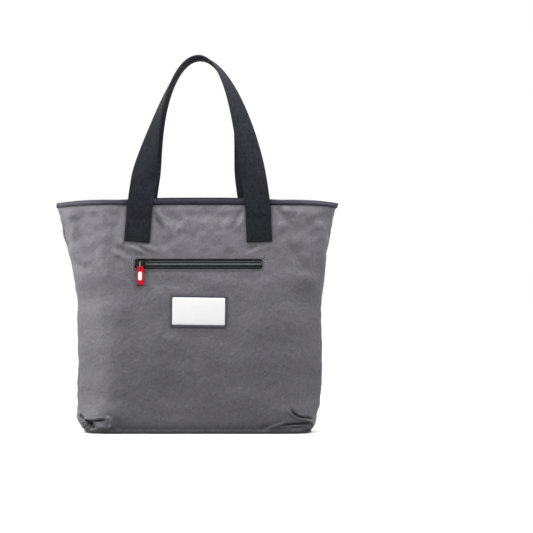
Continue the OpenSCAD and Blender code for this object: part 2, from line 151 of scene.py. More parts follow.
def body_point(u, z, off):
    """Point of the regular body: u runs from -1 at the left seam to 1 at the right one, and
    off is how far inside it lies."""
    power = 2 / lerp(BASE_POWER, RIM_POWER, np.clip(z / BODY_H, 0, 1))
    turn = pi * np.clip(np.abs(u) - 0.5, 0, 0.5)
    wide = half_w(z) - off
    corner = FLAT_W / 2 + (wide - FLAT_W / 2) * np.sin(turn) ** power
    x = np.where(np.abs(u) <= 0.5, FLAT_W * u, np.sign(u) * corner)
    square = np.clip(np.cos(turn), 0, 1) ** power
    reach = np.clip(np.abs(x) / wide, 0, 1)
    fall = FALL_DEPTH * (np.clip(reach - FALL_START, 0, 1) / (1 - FALL_START)) ** FALL_POWER
    full = (1 - fall) * np.sqrt(1 - reach**SEAM_POWER)
    roundness = smooth(*ROUND_LOW, z) * smooth(*ROUND_HIGH, z)
    y = -(half_d(z) - off) * lerp(square, full, roundness)
    return np.stack(np.broadcast_arrays(x, y, z), -1)


def rim_drop(u):
    x = body_point(u, np.full_like(u, BODY_H), 0)[..., 0]
    return RIM_DROP * (np.abs(x) / (RIM_W / 2)) ** DROP_POWER


def run_length(points):
    """Length along a line of points, up to each of them."""
    steps = np.linalg.norm(np.diff(points, axis=0), axis=-1)
    return np.concatenate([[0], np.cumsum(steps)])


def columns(flat_step, corner_step, z=0.15):
    """Values of u that are evenly spaced along the cloth, closer in the corners."""
    fine = np.linspace(0.5, 1, 2001)
    p = body_point(fine, np.full_like(fine, z), 0)
    run = run_length(p)
    corner = np.interp(np.linspace(0, run[-1], round(run[-1] / corner_step) + 1), run, fine)
    count = round(FLAT_W / flat_step)
    flat = np.linspace(-0.5, 0.5, count + 1)
    return np.concatenate([-corner[:0:-1], flat, corner[1:]])


# How the two sides leave their regular place: millimetres gained from one height to another
LEFT_SIDE = [(3.4, 0.246, 0.292), (1.8, 0.30, 0.33), (-1.8, 0.335, 0.345), (2.2, 0.345, BODY_H),
             (2.2, 0.19, 0.22), (-2.0, 0.24, 0.26), (1.8, 0.10, 0.07), (1.5, 0.034, 0.025),
             (-4, 0.024, 0.012), (3, 0.006, 0.0)]
RIGHT_SIDE = [(-4.2, 0.235, 0.285), (2.1, 0.322, 0.346), (0.9, 0.24, 0.2), (-2.6, 0.075, 0.044),
              (-4.6, 0.044, 0.026), (6, 0.005, 0.0)]
SIDE_POWER = 6


def side_gain(z, steps):
    return sum(gain * smooth(low, high, z) for gain, low, high in steps) * MM


def settle(p):
    """Lets the soft body hang unevenly: the sides and the bottom corners leave their
    regular places, and the middle stays."""
    x, z = p[..., 0], p[..., 2]
    share = np.clip(np.abs(x) / half_w(z), 0, 1) ** SIDE_POWER
    moved = p.copy()
    moved[..., 0] += share * np.where(x < 0, -side_gain(z, LEFT_SIDE), side_gain(z, RIGHT_SIDE))
    # between the handles the front of the rim sags and the back stands up
    between = smooth(*SAG_ACROSS, np.abs(x)) * smooth(SAG_FROM, BODY_H, z)
    back = smooth(-0.02, 0.02, p[..., 1])
    moved[..., 2] += between * lerp(-RIM_SAG, RIM_RISE, back)
    # towards its ends the rim of the full bag stands higher
    moved[..., 2] += RIM_LIFT * smooth(*LIFT_ACROSS, np.abs(x)) * smooth(LIFT_FROM, BODY_H, z)
    return moved


def turned(points, half):
    """Points or directions of the front half, taken half a turn about Z for the back."""
    return points * np.array([-1, -1, 1]) if half == "back" else points


def on_front(z):
    """Axes and origin of the flat middle of the front at a height: across, up and out."""
    across = np.array([1.0, 0, 0])
    up = np.array([0, sin(TILT), cos(TILT)])
    out = np.array([0, -cos(TILT), sin(TILT)])
    return np.stack([across, up, out]), np.array([0, -float(half_d(z)), z])


def place(local, z, turn=0.0, at=(0, 0, 0)):
    """Local points, across, up and out, set on the front at a height."""
    axes, origin = on_front(z)
    c, s = cos(turn), sin(turn)
    p = np.asarray(local, float)
    p = np.stack([p[..., 0] * c - p[..., 1] * s, p[..., 0] * s + p[..., 1] * c, p[..., 2]], -1)
    return (p + np.array(at)) @ axes + origin


# ---- unevenness of the cloth

def waves(s, z, size, seed, count=16, lean=None):
    """Smooth seeded unevenness of about unit height with humps of a size. lean gives the
    direction across the folds, in degrees, and its spread."""
    rng = np.random.default_rng(seed)
    total = np.zeros_like(s)
    for _ in range(count):
        angle = rng.uniform(0, 180) if lean is None else rng.normal(*lean)
        k = 2 * pi / size * rng.uniform(0.6, 1.5)
        a = radians(angle)
        total += np.sin(k * (s * cos(a) + z * sin(a)) + rng.uniform(0, 2 * pi))
    return total * sqrt(2 / count)


def box_mask(s, z, centre, size, soft):
    """0 inside a box and 1 outside, over a soft border."""
    d = np.maximum(np.abs(s - centre[0]) - size[0] / 2, np.abs(z - centre[1]) - size[1] / 2)
    return smooth(0, soft, d)


def near_path(s, z, path):
    """Distance to a line of points, signed by its side, and the share of its length."""
    points = np.array(path, float) * MM
    lengths = np.linalg.norm(np.diff(points, axis=0), axis=1)
    starts = run_length(points)
    best = np.full(s.shape, 1e9)
    sign, share = np.ones(s.shape), np.zeros(s.shape)
    for a, b, length, start in zip(points[:-1], points[1:], lengths, starts):
        d = (b - a) / length
        t = np.clip((s - a[0]) * d[0] + (z - a[1]) * d[1], 0, length)
        away = np.hypot(s - a[0] - t * d[0], z - a[1] - t * d[1])
        nearer = away < best
        best = np.where(nearer, away, best)
        side = d[0] * (z - a[1]) - d[1] * (s - a[0])
        sign = np.where(nearer, np.sign(side), sign)
        share = np.where(nearer, (start + t) / starts[-1], share)
    return best * sign, share


def fold(s, z, path, depth, width, lip, fade=(0.25, 0.25)):
    """Valley along a path, with a raised lip on its left side, all in millimetres. A
    negative depth makes a ridge. fade is the share of the length at each end where it fades."""
    d, share = near_path(s, z, path)
    ends = smooth(0, fade[0], share) * smooth(1, 1 - fade[1], share)
    valley = -depth * np.exp(-((d / (width * MM)) ** 2))
    ridge = lip * np.exp(-(((d / MM - 1.9 * width) / (1.3 * width)) ** 2))
    return ends * (valley + ridge) * MM


def add_folds(height, x, z, folds):
    for one in folds:
        height = height + fold(x, z, *one)
    return height


# Folds: points across and up in millimetres, depth, width, lip and, for some, the fading ends
FRONT_FOLDS = [
    ([(-186, 330), (-179, 316), (-182, 297)], 1.6, 6, 0.6),
    ([(-205, 322), (-196, 300), (-190, 280)], 1.2, 5, 0.5),
    ([(-160, 338), (-150, 320), (-154, 296)], 1.4, 6, 0.5),
    ([(-122, 290), (-104, 281), (-80, 268)], -3.2, 3.4, 0),
    ([(-92, 288), (-78, 279), (-60, 270)], -2.2, 3.6, 0),
    ([(-126, 281), (-111, 273), (-98, 262)], 2.2, 2.4, 0),
    ([(-131, 272), (-116, 265), (-104, 256)], -2.0, 3.0, 0),
    ([(-104, 288), (-90, 280), (-72, 269)], 1.4, 2.2, 0),
    ([(-73, 341), (-65, 325), (-50, 300)], 2.6, 3.4, 0),
    ([(-66, 341), (-57, 325), (-41, 300)], -2.8, 3.8, 0),
    ([(-57, 338), (-49, 318), (-42, 298)], 1.6, 3.2, 0),
    ([(-52, 339), (-42, 320), (-34, 296)], 1.6, 4, 0.8),
    ([(-46, 340), (-36, 322), (-26, 306)], 1.4, 5, 0.7),
    ([(-20, 338), (-8, 318), (8, 300)], 0.8, 7, 0.3),
    ([(66, 340), (58, 322), (50, 304)], 2.0, 4, 0.9),
    ([(40, 336), (34, 316), (22, 298)], 1.0, 6, 0.4),
    ([(112, 290), (92, 284), (70, 272)], 2.2, 3.4, 0.9),
    ([(116, 341), (122, 332), (132, 326)], 1.8, 4, 0.6),
    ([(120, 300), (134, 282), (150, 262)], 1.3, 6, 0.5),
    ([(140, 336), (146, 314), (142, 292)], 1.2, 6, 0.4),
    ([(176, 330), (168, 308), (166, 284)], 1.4, 7, 0.5),
    ([(-206, 262), (-186, 252), (-160, 244)], 1.9, 6, 1.1),
    ([(186, 236), (168, 243), (146, 246)], 1.4, 7, 0.6),
    # broad upright swells where the front turns towards the sides
    ([(-124, 240), (-127, 150), (-131, 6)], -6.5, 27, 0, (0.25, 0.14)),
    ([(126, 246), (130, 150), (134, 6)], -6.0, 27, 0, (0.25, 0.14)),
]
BACK_FOLDS = [
    ([(-66, 339), (-54, 322), (-44, 304)], 1.4, 5, 0.5),
    ([(66, 339), (55, 320), (47, 300)], 1.4, 5, 0.5),
    ([(-118, 288), (-100, 278), (-76, 270)], 1.2, 5, 0.4),
    ([(118, 288), (98, 277), (74, 268)], 1.2, 5, 0.4),
    ([(-176, 330), (-168, 306), (-172, 280)], 1.1, 7, 0.3),
    ([(180, 328), (172, 302), (176, 276)], 1.1, 7, 0.3),
]
# The left bottom corner of the front has a deep crease over a bulge, beside a puckered knot
GATHERED_FOLDS = [
    ([(-171, 20.2), (-160, 19.2), (-148, 20.4), (-135, 21.0)], 5.5, 1.25, 0.9, (0.04, 0.3)),
    ([(-165, 19), (-160.5, 12), (-158, 5)], 7.5, 4.2, 0, (0.1, 0.3)),
    ([(-180, 28), (-176, 25), (-171, 23)], 4.5, 2.4, 0, (0.1, 0.3)),
    ([(-138, 26), (-131, 21), (-129, 14), (-136, 5)], -3.4, 2.2, 0, (0.2, 0.3)),
    ([(-124, 27), (-119, 17), (-121, 5)], 1.8, 3.8, 0, (0.3, 0.3)),
]
# The right one has a sharp ridge that runs down to the seam, over two creases
CREASED_FOLDS = [
    ([(134, 40), (139, 34), (144, 29.5), (151, 26), (158, 24.8), (167, 24.4), (177, 22)],
     3.8, 1.3, 0, (0.3, 0.1)),
    ([(130, 37), (138, 29.5), (146, 24.2), (156, 21.7), (166, 20), (173, 17.5), (175, 12),
      (171, 7), (166, 4)], -3.6, 1.8, 0, (0.25, 0.1)),
    ([(116, 10), (130, 13.8), (146, 15.2), (172, 16.4)], 4.2, 1.6, 0, (0.35, 0.06)),
    ([(99, 4.5), (108, 9), (120, 13), (136, 18)], -1.6, 2.4, 0, (0.3, 0.4)),
    ([(88, 3), (98, 9), (112, 13)], 1.8, 3.6, 0, (0.3, 0.4)),
    ([(136, 8.5), (150, 8), (166, 9.5)], 1.6, 2.2, 0, (0.3, 0.3)),
]
CREASED_FOLDS += [([(at, 34), (at + 2, 25)], 0.7, 1.2, 0, (0.6, 0.1)) for at in (167, 171, 176)]
# Centre and reach of the knot's puckers, and the same of the bulge beside it
KNOT_AT, KNOT_REACH = (-0.171, 0.0125), 0.0095
BULGE_AT, BULGE_REACH, BULGE_H = (-0.143, 0.009), (0.012, 0.0055), 0.0034
# Taut place of the front beside the pocket: centre and reach
TAUT_AT, TAUT_REACH = (0.150, 0.214), (0.036, 0.034)
# Seeds of the cloth's waves, and their sizes: swells, long folds, crumples, and the livelier
# ones near the rim. Then how far the lower part leans in, in millimetres
WAVE_SEEDS = {"front": 3, "back": 41}
SWELL, SMALL_SWELL, LONG_FOLD, CRUMPLE, LIVELY = 0.17, 0.075, 0.05, 0.022, 0.04
LEAN_IN = 2.6
# Flat places: where the window, the label and the handles' ends lie on the cloth
FRONT_FLATS = [((0, WINDOW_Z), (0.203, 0.025)), ((0, LABEL_Z), (0.088, 0.052)),
               ((-0.090, 0.310), (0.043, 0.052)), ((0.089, 0.310), (0.042, 0.052))]
BACK_FLATS = [((-0.087, 0.310), (0.044, 0.052)), ((0.087, 0.310), (0.044, 0.052))]


def hump(x, z, centre, reach):
    """1 at a centre, falling to nothing around it."""
    return np.exp(-(((x - centre[0]) / reach[0]) ** 2 + ((z - centre[1]) / reach[1]) ** 2))


def gathered_corner(x, z):
    across, up = x - KNOT_AT[0], z - KNOT_AT[1]
    r = np.hypot(across, up)
    pucker = np.sin(5 * np.arctan2(up, across) + 1.4) + np.sin(r / 0.00075)
    height = (0.75 * pucker - 1.0) * MM * np.exp(-((r / KNOT_REACH) ** 4))
    return add_folds(height, x, z, GATHERED_FOLDS) + BULGE_H * hump(x, z, BULGE_AT, BULGE_REACH)


def creased_corner(x, z):
    return add_folds(0, x, z, CREASED_FOLDS)


def relief(x, s, row, u, half):
    """Height of the cloth above the regular body. x and row are the place seen from in
    front of that half, s the place along the cloth and u the column."""
    front = half == "front"
    seed, rim = WAVE_SEEDS[half], BODY_H - BINDING_H
    soft = 1.0 * waves(s, row, SWELL, seed) + 0.6 * waves(s, row, SMALL_SWELL, seed + 1)
    # long shallow folds that run down from the rim, strongest near the sides
    share = (0.4 + 0.6 * smooth(0.09, 0.17, np.abs(s))) * smooth(0.10, 0.30, row)
    soft += share * waves(s, row, LONG_FOLD, seed + 2, lean=(8, 14))
    # fine crumples, livelier near the rim
    high = smooth(0.24, 0.30, row)
    soft += ((0.10 + 0.26 * high) * waves(s, row, CRUMPLE, seed + 3, 30)
             + 0.5 * high * waves(s, row, LIVELY, seed + 4))
    height = soft * MM * smooth(0.0, 0.03, row) * smooth(rim, BODY_H - 0.024, row)
    if front:
        height *= 1 - 0.9 * hump(x, row, TAUT_AT, TAUT_REACH)
    # the lower part leans in a little, away from the sides
    inward = LEAN_IN * MM * smooth(0.155, 0.020, row) * smooth(0.0, 0.007, row)
    height -= inward * smooth(0.92, 0.5, np.abs(u))
    creases = add_folds(0, x, row, FRONT_FOLDS if front else BACK_FOLDS)
    creases *= smooth(rim, BODY_H - 0.014, row)
    for centre, size in FRONT_FLATS if front else BACK_FLATS:
        height *= box_mask(s, row, centre, size, 0.016)
        creases *= box_mask(s, row, centre, size, 0.005)
    height += creases
    # the same bottom corner of the bag is gathered on both halves
    facing = 1 if front else -1
    height += gathered_corner(facing * x, row) * (facing * x < 0)
    height += creased_corner(facing * x, row) * (facing * x > 0)
    # the side seam pulls both halves in alike, with small puckers
    seam = (-0.9 - 0.3 * np.sin(row / 0.0032) * smooth(0.01, 0.04, row)) * MM
    seam *= smooth(rim, BODY_H - 0.020, row)
    return lerp(height, seam, smooth(0.965, 0.997, np.abs(u)))


# ---- meshes

def add_object(name, data):
    ob = bpy.data.objects.new(name, data)
    bpy.context.scene.collection.objects.link(ob)
    return ob


def rework(mesh, weld=False, fill=False):
    """Turns the faces outwards, after points at one place are joined or holes are filled."""
    bm = bmesh.new()
    bm.from_mesh(mesh)
    if weld:
        bmesh.ops.remove_doubles(bm, verts=bm.verts, dist=1e-7)
    if fill:
        bmesh.ops.holes_fill(bm, edges=[e for e in bm.edges if e.is_boundary], sides=0)
    bmesh.ops.recalc_face_normals(bm, faces=bm.faces)
    bm.to_mesh(mesh)
    bm.free()


def new_piece(name, points, faces, material, body="bag", uv=None, solid=0.0, closed=True):
    """Mesh object that rides on a body. uv gives a flat place in metres for each point,
    and solid the thickness that is added to a sheet, inwards."""
    points = np.asarray(points, float).reshape(-1, 3)
    faces = np.asarray(faces)
    used, inverse = np.unique(faces, return_inverse=True)
    faces = inverse.reshape(faces.shape)
    me = bpy.data.meshes.new(name)
    me.from_pydata(points[used].tolist(), [], faces.tolist())
    if uv is not None:
        layer = me.uv_layers.new(name="weave")
        flat = np.asarray(uv, float).reshape(-1, 2)[used][faces.ravel()]
        layer.uv.foreach_set("vector", flat.astype(np.float32).ravel())
    me.validate()
    ob = add_object(name, me)
    if closed:
        rework(me)
    me.polygons.foreach_set("use_smooth", [True] * len(me.polygons))
    me.materials.append(material)
    if solid:
        shell = ob.modifiers.new("thickness", "SOLIDIFY")
        shell.thickness, shell.offset = solid, -1
    if body:
        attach(ob, body)
    return ob


def grid_faces(rows, cols, keep=None):
    index = np.arange(rows * cols).reshape(rows, cols)
    quads = np.stack([index[:-1, :-1], index[:-1, 1:], index[1:, 1:], index[1:, :-1]], -1)
    return quads.reshape(-1, 4) if keep is None else quads[keep]


def sweep_faces(rings, size, caps=True):
    """Quads between rings of points, and end caps as strips across each ring's halves."""
    i = np.arange(rings - 1)[:, None]
    j = np.arange(size)[None, :]
    a, b = i * size + j, i * size + (j + 1) % size
    faces = [np.stack([a, b, b + size, a + size], -1).reshape(-1, 4)]
    if caps:
        k = np.arange(size // 2 - 1)
        strip = np.stack([k, k + 1, size - 2 - k, size - 1 - k], -1)
        faces += [strip[:, ::-1], strip + (rings - 1) * size]
    return np.concatenate(faces)


def sweep_uv(rings):
    """Length round each ring and along the sweep, in metres."""
    along_path = run_length(rings.mean(1))
    closed = np.concatenate([rings[0], rings[0][:1]])
    across = run_length(closed)[:-1]
    return np.stack(np.broadcast_arrays(across[None, :], along_path[:, None]), -1)


def rounded(w, h, r, steps):
    """Outline of a rounded rectangle, anticlockwise, with even points on its corners."""
    corners = [(w / 2 - r, h / 2 - r, 0), (r - w / 2, h / 2 - r, 90),
               (r - w / 2, r - h / 2, 180), (w / 2 - r, r - h / 2, 270)]
    points = []
    for x, y, start in corners:
        for a in np.radians(np.linspace(start, start + 90, steps + 1)):
            points.append((x + r * cos(a), y + r * sin(a)))
    return np.array(points)


def spread_along(points, pitch, loop=False):
    """Evenly spaced points on a line, and the direction at each."""
    points = np.asarray(points, float)
    if loop:
        points = np.concatenate([points, points[:1]])
    run = run_length(points)
    count = max(1, round(run[-1] / pitch))
    at = (np.arange(count) + 0.5) * run[-1] / count
    start, end = (np.stack([np.interp(at + d, run, row) for row in points.T], -1)
                  for d in (-pitch / 4, pitch / 4))
    heading = end - start
    return (start + end) / 2, heading / np.linalg.norm(heading, axis=1, keepdims=True)


def beads(name, centres, headings, outs, size, material):
    """Small rounded bars, such as stitches or teeth: size is length, width and height."""
    circles, sides = 6, 8
    lat = np.linspace(0, pi, circles)
    lon = np.arange(sides) * 2 * pi / sides
    ring = np.stack([np.cos(lat)[:, None] + 0 * lon, np.sin(lat)[:, None] * np.cos(lon),
                     np.sin(lat)[:, None] * np.sin(lon)], -1)
    ring[..., 0] = np.sign(ring[..., 0]) * np.abs(ring[..., 0]) ** 0.6
    template = ring.reshape(-1, 3) * np.array(size) / 2
    faces = sweep_faces(circles, sides, caps=False)
    across = np.cross(outs, headings)
    points = (centres[:, None] + template[None, :, :1] * headings[:, None]
              + template[None, :, 1:2] * across[:, None] + template[None, :, 2:] * outs[:, None])
    every = (faces[None] + np.arange(len(centres))[:, None, None] * len(template)).reshape(-1, 4)
    ob = new_piece(name, points, every, material, closed=False)
    rework(ob.data, weld=True)
    return ob


# ---- materials

def srgb(colour):
    """Linear colour of a colour given in the usual 0 to 255."""
    c = np.array(colour) / 255
    return (*np.where(c <= 0.04045, c / 12.92, ((c + 0.055) / 1.055) ** 2.4), 1)


class Nodes:
    """Adds nodes to a tree."""

    def __init__(self, tree):
        self.tree = tree

    def feed(self, socket, value):
        """Links an output to a socket, or sets the socket to a plain value."""
        if isinstance(value, bpy.types.NodeSocket):
            self.tree.links.new(value, socket)
        else:
            socket.default_value = value

    def node(self, kind, inputs=None, **settings):
        """New node. inputs gives what feeds its sockets, by their name or number."""
        made = self.tree.nodes.new(kind)
        for name, value in settings.items():
            setattr(made, name, value)
        for socket, value in (inputs or {}).items():
            self.feed(made.inputs[socket], value)
        return made

    def math(self, operation, a, b=0.0, clamp=False):
        made = self.node("ShaderNodeMath", {0: a, 1: b}, operation=operation, use_clamp=clamp)
        return made.outputs[0]

    def ranged(self, value, start, end, low=0.0, high=1.0, **settings):
        """A value that goes from low to high while another goes from start to end."""
        inputs = {"Value": value, "From Min": start, "From Max": end, "To Min": low, "To Max": high}
        return self.node("ShaderNodeMapRange", inputs, **settings).outputs["Result"]

    def scaled(self, value, low, high):
        """A value from 0 to 1 spread between two limits."""
        return self.ranged(value, 0, 1, low, high)

    def where(self):
        """The place of a point in space, in metres."""
        return self.node("ShaderNodeTexCoord").outputs["Object"]

    def split(self, vector):
        """The coordinates of a vector, by their letters."""
        return self.node("ShaderNodeSeparateXYZ", {0: vector}).outputs


class Paint(Nodes):
    """Builds the nodes of one material."""

    def __init__(self, name, roughness=0.6, **sockets):
        self.material = bpy.data.materials.new(name)
        self.material.use_nodes = True
        super().__init__(self.material.node_tree)
        self.shader = self.tree.nodes["Principled BSDF"]
        self.shader.inputs["Roughness"].default_value = roughness
        for socket, value in sockets.items():
            self.shader.inputs[socket.replace("_", " ")].default_value = value
        self.normal = None

    def flat(self):
        """The two coordinates along the cloth, in metres."""
        parts = self.split(self.node("ShaderNodeUVMap", uv_map="weave").outputs["UV"])
        return parts["X"], parts["Y"]

    def noise(self, size, detail=2.0, stretch=(1, 1, 1), turn=0.0):
        """Soft noise in space, 0 to 1, with patches of a size, stretched along axes that
        are turned about Y."""
        inputs = {"Vector": self.where(), "Scale": stretch, "Rotation": (0, turn, 0)}
        place = self.node("ShaderNodeMapping", inputs, vector_type="TEXTURE").outputs[0]
        inputs = {"Vector": place, "Scale": 1 / size, "Detail": detail}
        return self.node("ShaderNodeTexNoise", inputs).outputs["Fac"]

    def wave(self, value, pitch):
        """Sine that changes its sign once a pitch."""
        return self.math("SINE", self.math("MULTIPLY", value, pi / pitch))

    def weave(self, pitch_u, pitch_v):
        """Height of a plain weave, 0 to 1, with threads of these widths."""
        u, v = self.flat()
        su, sv = self.wave(u, pitch_u), self.wave(v, pitch_v)
        over = self.math("GREATER_THAN", self.math("MULTIPLY", su, sv), 0.0)
        top = self.math("MULTIPLY", self.math("ABSOLUTE", su), over)
        under = self.math("MULTIPLY", self.math("ABSOLUTE", sv), self.math("SUBTRACT", 1.0, over))
        return self.math("ADD", top, under)

    def twill(self, pitch):
        """Height of the diagonal ribs of a twill, 0 to 1."""
        u, v = self.flat()
        diagonal = self.wave(self.math("ADD", u, v), pitch)
        thread = self.math("MULTIPLY", self.wave(u, pitch / 2), 0.3)
        return self.scaled(self.math("ADD", diagonal, thread), 0, 1)

    def ribs(self, pitch):
        """Height of round ribs, 0 to 1, side by side along the first coordinate."""
        return self.math("ABSOLUTE", self.wave(self.flat()[0], pitch))

    def blend(self, value, a, b):
        """Base colour that goes from a to b as a value goes from 0 to 1. Each is the output
        of another blend or a colour in the usual 0 to 255."""
        a, b = (srgb(colour) if isinstance(colour, tuple) else colour for colour in (a, b))
        mix = self.node("ShaderNodeMix", {"Factor": value, 6: a, 7: b}, data_type="RGBA")
        self.feed(self.shader.inputs["Base Color"], mix.outputs[2])
        return mix.outputs[2]

    def bump(self, height, depth, strength=1.0):
        """Raises the surface by a height from 0 to 1, over the bumps that were made before."""
        inputs = {"Strength": strength, "Distance": depth, "Height": height}
        if self.normal:
            inputs["Normal"] = self.normal
        self.normal = self.node("ShaderNodeBump", inputs).outputs["Normal"]
        self.feed(self.shader.inputs["Normal"], self.normal)

    def grain(self, size, detail=3.0, stretch=(1, 1, 1), turn=0.0):
        """Noise with its contrast raised, 0 to 1."""
        return self.ranged(self.noise(size, detail, stretch, turn), 0.32, 0.68)

    def creases(self, base, reach, power, dark):
        """Painted shade: darkens the base colour where little light reaches, found by ambient
        occlusion.
        """
        light = self.node("ShaderNodeAmbientOcclusion", {"Distance": reach}, samples=6).outputs["AO"]
        self.blend(self.math("POWER", light, power), dark, base)

    def rough(self, value, low, high):
        self.feed(self.shader.inputs["Roughness"], self.scaled(value, low, high))


def body_cloth(name="body_cloth", dark=0):
    """Mid grey woven polyester, flecked, with a faint violet cast and a soft sheen. dark
    lowers all its colours."""
    def tone(r, g, b):
        return (r - dark, g - dark, b - dark)

    p = Paint(name, Sheen_Weight=0.10, Sheen_Roughness=0.4, Specular_IOR_Level=0.38)
    weave = p.weave(0.00045, 0.00055)
    patches = p.noise(0.03, 3)
    flecks = p.math("ADD", p.math("MULTIPLY", p.grain(0.0030), 0.6),
                    p.math("MULTIPLY", p.grain(0.0032, 2, (1, 1, 3.5), 0.9), 0.4))
    base = p.blend(flecks, tone(68, 68, 68), tone(103, 102, 104))
    base = p.blend(p.scaled(patches, -0.1, 0.45), base, tone(84, 79, 94))
    base = p.blend(p.scaled(weave, 0.0, 0.3), base, tone(124, 122, 132))
    # painted shade, near black, in the folds and along the foot where the floor is near
    p.creases(base, 0.020, 1.4, (14, 14, 16))
    p.rough(patches, 0.36, 0.52)
    p.bump(p.noise(0.012, 4), 0.0022, 0.55)
    p.bump(flecks, 0.00022, 0.5)
    p.bump(weave, 0.00012, 0.6)
    return p.material


def lining_cloth():
    p = Paint("lining_cloth", Sheen_Weight=0.15, Specular_IOR_Level=0.35)
    weave = p.weave(0.0004, 0.0004)
    p.blend(p.noise(0.02, 3), (50, 51, 57), (66, 67, 74))
    p.rough(weave, 0.5, 0.7)
    p.bump(p.noise(0.012, 2), 0.0006, 0.5)
    p.bump(weave, 0.0001, 0.6)
    return p.material


def binding_tape(length):
    """Grosgrain tape: fine ribs across its length, painted light that makes it paler towards the bag's
    sides, and painted shade that makes its two ends dark.
    """
    p = Paint("binding_tape", Sheen_Weight=0.04, Specular_IOR_Level=0.08)
    ribs = p.ribs(0.0011)
    base = p.blend(p.grain(0.004), (25, 24, 30), (38, 36, 44))
    base = p.blend(p.scaled(ribs, 0.0, 0.35), base, (68, 65, 78))
    u = p.flat()[0]
    # painted light: the tape grows paler towards the bag's two sides
    side = p.ranged(p.math("ABSOLUTE", p.math("SUBTRACT", u, length / 2)), 0.10, 0.165)
    painted_side_light = p.blend(p.scaled(ribs, 0.0, 0.5), (62, 60, 68), (112, 110, 120))
    base = p.blend(side, base, painted_side_light)
    # painted shade: the last 4.2 mm at each end of the tape, where it turns round the side seams, are
    # near black
    end = p.math("LESS_THAN", p.math("MINIMUM", u, p.math("SUBTRACT", length, u)), 0.0042)
    base = p.blend(end, base, (9, 9, 11))
    # painted shade along the tape's edges and where it meets the cloth and the handles
    p.creases(base, 0.004, 1.5, (12, 12, 14))
    p.rough(ribs, 0.75, 0.55)
    p.bump(ribs, 0.00025, 0.8)
    return p.material


def webbing():
    """Dense black-grey webbing with lengthwise cords and a fine cross weave."""
    p = Paint("webbing", Specular_IOR_Level=0.03)
    cords = p.ribs(0.0019)
    weave = p.math("MULTIPLY", cords, p.weave(0.0009, 0.0007))
    base = p.blend(p.noise(0.010, 4), (23, 24, 27), (34, 35, 39))
    worn = p.math("MULTIPLY", p.scaled(weave, 0.0, 0.7), p.grain(0.0034))
    base = p.blend(worn, base, (56, 57, 63))
    # painted shade in the webbing's hollows and where it lies on the cloth
    p.creases(base, 0.006, 1.2, (8, 8, 9))
    p.rough(weave, 0.9, 0.8)
    p.bump(cords, 0.00012, 0.3)
    return p.material


def thread(name, dark, light):
    p = Paint(name, 0.6, Sheen_Weight=0.05, Specular_IOR_Level=0.15)
    p.blend(p.noise(0.0015, 2), dark, light)
    p.bump(p.noise(0.0006, 1), 0.0001, 0.5)
    return p.material


def window_thread():
    """Grey thread of the window, with a painted highlight that makes it paler round the window's two
    ends.
    """
    p = Paint("window_thread", 0.55, Sheen_Weight=0.2)
    end = WINDOW_W / 2
    # painted highlight: the stitches grow pale within 12 mm of the window's ends
    painted_end_highlight = p.ranged(p.math("ABSOLUTE", p.split(p.where())["X"]), end - 0.012, end - 0.002)
    plain = p.blend(p.noise(0.0015, 2), (92, 92, 97), (124, 124, 129))
    p.blend(painted_end_highlight, plain, (182, 181, 184))
    p.bump(p.noise(0.0006, 1), 0.0001, 0.5)
    return p.material


def zip_tape():
    p = Paint("zip_tape", Sheen_Weight=0.05, Specular_IOR_Level=0.1)
    weave = p.twill(0.0007)
    base = p.blend(p.math("MULTIPLY", weave, p.grain(0.0026)), (36, 37, 40), (74, 76, 81))
    # painted shade on the tape along the window's edges, where it lies under the cloth
    p.creases(base, 0.0034, 1.8, (7, 7, 8))
    p.rough(weave, 0.8, 0.6)
    p.bump(weave, 0.0002, 0.8)
    return p.material


def moulded(name, low, high, roughness, grain=0.0003, bump=0.15, **sockets):
    """Moulded plastic or enamel with a faint grain."""
    p = Paint(name, roughness, **sockets)
    p.blend(p.noise(0.004, 3), low, high)
    p.rough(p.noise(0.002, 2), roughness * 0.85, roughness * 1.15)
    p.bump(p.noise(grain, 1), 0.0001, bump)
    return p.material


def pull_tab_rubber():
    """Red rubber, with painted shade that makes its lower end dark."""
    p = Paint("pull_tab", Specular_IOR_Level=0.15)
    base = p.blend(p.noise(0.003, 3), (184, 16, 32), (200, 24, 42))
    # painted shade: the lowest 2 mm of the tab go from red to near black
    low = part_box("pull_tab")[0][2]
    above = p.ranged(p.split(p.where())["Z"], low + 0.0014, low + 0.0022)
    base = p.blend(above, (26, 20, 22), base)
    # painted shade round the tab's edges and hole, in dark red
    p.creases(base, 0.002, 1.0, (60, 6, 12))
    p.rough(p.noise(0.002, 2), 0.4, 0.55)
    p.bump(p.noise(0.0006, 2), 0.0001, 0.3)
    return p.material


def floor_paint():
    """Pale floor that shows white away from the object and keeps the object's shadow."""
    p = Paint("floor", 0.9)
    path = p.node("ShaderNodeLightPath").outputs
    seen = p.math("ADD", path["Is Camera Ray"], path["Is Glossy Ray"], clamp=True)
    tone = p.blend(p.noise(0.4, 2), (120, 120, 120), (126, 126, 126))
    p.blend(seen, tone, (246, 246, 246))
    away = p.node("ShaderNodeVectorMath", {0: p.where()}, operation="LENGTH").outputs["Value"]
    # the floor's own light grows with the distance, so that the shadow stays near the object
    far = p.ranged(away, 0.25, 0.9, 0.12, 1.0, interpolation_type="SMOOTHSTEP")
    inputs = {"Color": (1, 1, 1, 1), "Strength": p.math("MULTIPLY", seen, far)}
    glow = p.node("ShaderNodeEmission", inputs).outputs[0]
    both = p.node("ShaderNodeAddShader", {0: p.shader.outputs[0], 1: glow}).outputs[0]
    p.feed(p.tree.nodes["Material Output"].inputs["Surface"], both)
    return p.material


